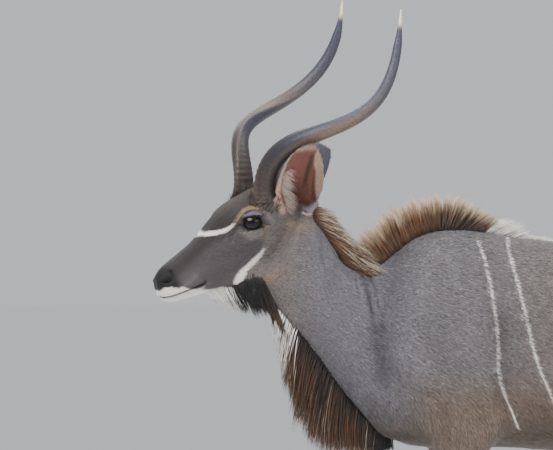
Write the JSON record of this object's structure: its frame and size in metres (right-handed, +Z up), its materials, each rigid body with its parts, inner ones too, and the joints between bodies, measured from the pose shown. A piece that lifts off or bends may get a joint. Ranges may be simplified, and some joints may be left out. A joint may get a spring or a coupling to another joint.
{
  "type": "greater kudu",
  "caption": "Standing greater kudu bull: spiral horns, spread ears, manes on neck and withers, throat fringe, thin white flank stripes and cloven hooves.",
  "frame": {"origin": "middle of the bounding box, on the floor under the hooves", "axes": "+Z up; the animal faces -Y, and +X is its left side; its head is turned 20 degrees to its left"},
  "size_m": [0.4666, 1.9914, 1.8882],
  "materials": {
    "coat": "short grey-brown coat with thin white stripes, darker face, tawny lower legs",
    "long_hair": "coarse standing hair, brown with pale tips",
    "dark_hair": "long soft hair, brown-black with white patches",
    "white_hair": "short standing white hair along the spine",
    "horn": "ridged horn, dark grey-brown with ivory tips",
    "hoof": "smooth dark hoof",
    "eye": "wet dark brown eye"
  },
  "bodies": {
    "root": {"back_crest": "white_hair", "beard": "dark_hair", "dewclaw_front_left_inner": "hoof", "dewclaw_front_left_outer": "hoof", "dewclaw_front_right_inner": "hoof", "dewclaw_front_right_outer": "hoof", "dewclaw_rear_left_inner": "hoof", "dewclaw_rear_left_outer": "hoof", "dewclaw_rear_right_inner": "hoof", "dewclaw_rear_right_outer": "hoof", "ear_left": "coat", "ear_right": "coat", "eye_left": "eye", "eye_right": "eye", "head": "coat", "hoof_front_left_inner": "hoof", "hoof_front_left_outer": "hoof", "hoof_front_right_inner": "hoof", "hoof_front_right_outer": "hoof", "hoof_rear_left_inner": "hoof", "hoof_rear_left_outer": "hoof", "hoof_rear_right_inner": "hoof", "hoof_rear_right_outer": "hoof", "horn_left": "horn", "horn_right": "horn", "leg_front_left": "coat", "leg_front_right": "coat", "leg_rear_left": "coat", "leg_rear_right": "coat", "lower_jaw": "coat", "nape_mane": "long_hair", "neck": "coat", "tail": "coat", "tail_brush": "dark_hair", "throat_fringe": "dark_hair", "trunk": "coat", "withers_mane": "long_hair"}
  },
  "joints": []
}
